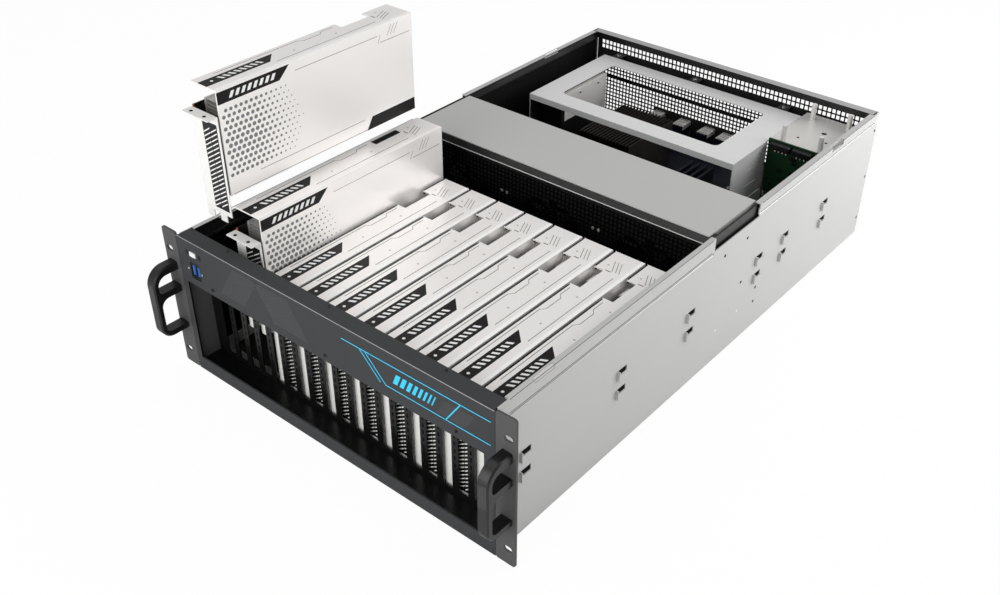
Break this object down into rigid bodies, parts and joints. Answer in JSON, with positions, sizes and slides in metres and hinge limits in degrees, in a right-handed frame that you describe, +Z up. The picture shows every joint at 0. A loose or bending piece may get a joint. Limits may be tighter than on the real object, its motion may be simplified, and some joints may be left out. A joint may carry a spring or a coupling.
{
  "type": "gpu server",
  "caption": "Open-top rack server chassis with vertical double-width accelerator cards behind a slotted front wall, a fan row, main board bridge and drive cage; front cards shown lifted",
  "frame": {"origin": "centre of the bounding box's footprint, on the floor", "axes": "+X to the right seen from the front, +Y from the front handles to the rear panel, +Z up"},
  "size_m": [0.4826, 0.798, 0.3414],
  "materials": {
    "zinc_steel": "satin zinc",
    "ear_steel": "matt dark grey",
    "bezel_paint": "satin dark grey",
    "black_plastic": "satin black",
    "white_plastic": "white",
    "port_metal": "bright",
    "nickel_steel": "bright nickel",
    "switch_board": "dark board",
    "card_silver": "satin silver",
    "card_board": "dark board with bronze edge",
    "card_bracket": "bright nickel",
    "black_steel": "satin black",
    "fan_plastic": "black",
    "cover_paint": "light warm grey",
    "main_board": "dark navy board",
    "cooler_metal": "dark bronze",
    "bridge_paint": "light grey-green",
    "green_board": "green board"
  },
  "bodies": {
    "chassis": {"base_pan": "zinc_steel", "side_panel_left": "zinc_steel", "side_panel_right": "zinc_steel", "rack_ear_left": "ear_steel", "rack_ear_right": "ear_steel", "handle_left": "black_plastic", "handle_right": "black_plastic", "front_bezel": "bezel_paint", "front_ports": "port_metal", "bracket_wall": "nickel_steel", "backplane": "switch_board", "fan_wall": "black_steel", "fan_frames": "fan_plastic", "fan_cover": "cover_paint", "supply_bay": "zinc_steel", "main_board": "main_board", "cooler": "cooler_metal", "power_box": "zinc_steel", "bridge": "bridge_paint", "rear_panel": "black_steel", "drive_cage": "zinc_steel", "drive_boards": "green_board"},
    "card_01": {"card_01_shroud": "card_silver", "card_01_board": "card_board", "card_01_bracket": "card_bracket"},
    "card_02": {"card_02_shroud": "card_silver", "card_02_board": "card_board", "card_02_bracket": "card_bracket"},
    "card_03": {"card_03_shroud": "card_silver", "card_03_board": "card_board", "card_03_bracket": "card_bracket"},
    "card_04": {"card_04_shroud": "card_silver", "card_04_board": "card_board", "card_04_bracket": "card_bracket"},
    "card_05": {"card_05_shroud": "card_silver", "card_05_board": "card_board", "card_05_bracket": "card_bracket"},
    "card_06": {"card_06_shroud": "card_silver", "card_06_board": "card_board", "card_06_bracket": "card_bracket"},
    "card_07": {"card_07_shroud": "card_silver", "card_07_board": "card_board", "card_07_bracket": "card_bracket"},
    "card_08": {"card_08_shroud": "card_silver", "card_08_board": "card_board", "card_08_bracket": "card_bracket"},
    "card_09": {"card_09_shroud": "card_silver", "card_09_board": "card_board", "card_09_bracket": "card_bracket"},
    "card_10": {"card_10_shroud": "card_silver", "card_10_board": "card_board", "card_10_bracket": "card_bracket"},
    "rotor_1": {"fan_rotor_1": "fan_plastic"},
    "rotor_2": {"fan_rotor_2": "fan_plastic"},
    "rotor_3": {"fan_rotor_3": "fan_plastic"},
    "button": {"power_button": "white_plastic"},
    "supply_1": {"power_supply_1": "zinc_steel"},
    "supply_2": {"power_supply_2": "zinc_steel"},
    "tray_1": {"drive_tray_1": "black_plastic"},
    "tray_2": {"drive_tray_2": "black_plastic"}
  },
  "joints": [
    {"name": "card_01_lift", "type": "slide", "parent": "chassis", "child": "card_01", "axis": [0, 0, 1], "range_m": [-0.1914, 0]},
    {"name": "card_02_lift", "type": "slide", "parent": "chassis", "child": "card_02", "axis": [0, 0, 1], "range_m": [-0.066, 0.1254]},
    {"name": "card_03_lift", "type": "slide", "parent": "chassis", "child": "card_03", "axis": [0, 0, 1], "range_m": [0, 0.1914]},
    {"name": "card_04_lift", "type": "slide", "parent": "chassis", "child": "card_04", "axis": [0, 0, 1], "range_m": [0, 0.1914]},
    {"name": "card_05_lift", "type": "slide", "parent": "chassis", "child": "card_05", "axis": [0, 0, 1], "range_m": [0, 0.1914]},
    {"name": "card_06_lift", "type": "slide", "parent": "chassis", "child": "card_06", "axis": [0, 0, 1], "range_m": [0, 0.1914]},
    {"name": "card_07_lift", "type": "slide", "parent": "chassis", "child": "card_07", "axis": [0, 0, 1], "range_m": [0, 0.1914]},
    {"name": "card_08_lift", "type": "slide", "parent": "chassis", "child": "card_08", "axis": [0, 0, 1], "range_m": [0, 0.1914]},
    {"name": "card_09_lift", "type": "slide", "parent": "chassis", "child": "card_09", "axis": [0, 0, 1], "range_m": [0, 0.1914]},
    {"name": "card_10_lift", "type": "slide", "parent": "chassis", "child": "card_10", "axis": [0, 0, 1], "range_m": [0, 0.1914]},
    {"name": "rotor_1_spin", "type": "hinge", "parent": "chassis", "child": "rotor_1", "pos_m": [-0.13402, 0.0077, 0.08405], "axis": [0, 1, 0], "continuous": true},
    {"name": "rotor_2_spin", "type": "hinge", "parent": "chassis", "child": "rotor_2", "pos_m": [0, 0.0077, 0.08405], "axis": [0, 1, 0], "continuous": true},
    {"name": "rotor_3_spin", "type": "hinge", "parent": "chassis", "child": "rotor_3", "pos_m": [0.13402, 0.0077, 0.08405], "axis": [0, 1, 0], "continuous": true},
    {"name": "button_press", "type": "slide", "parent": "chassis", "child": "button", "axis": [0, 1, 0], "range_m": [0, 0.0015], "stiffness_N_per_m": 400},
    {"name": "supply_1_slide", "type": "slide", "parent": "chassis", "child": "supply_1", "axis": [0, 1, 0], "range_m": [0, 0.15]},
    {"name": "supply_2_slide", "type": "slide", "parent": "chassis", "child": "supply_2", "axis": [0, 1, 0], "range_m": [0, 0.15]},
    {"name": "tray_1_slide", "type": "slide", "parent": "chassis", "child": "tray_1", "axis": [0, 1, 0], "range_m": [0, 0.1]},
    {"name": "tray_2_slide", "type": "slide", "parent": "chassis", "child": "tray_2", "axis": [0, 1, 0], "range_m": [0, 0.1]}
  ]
}
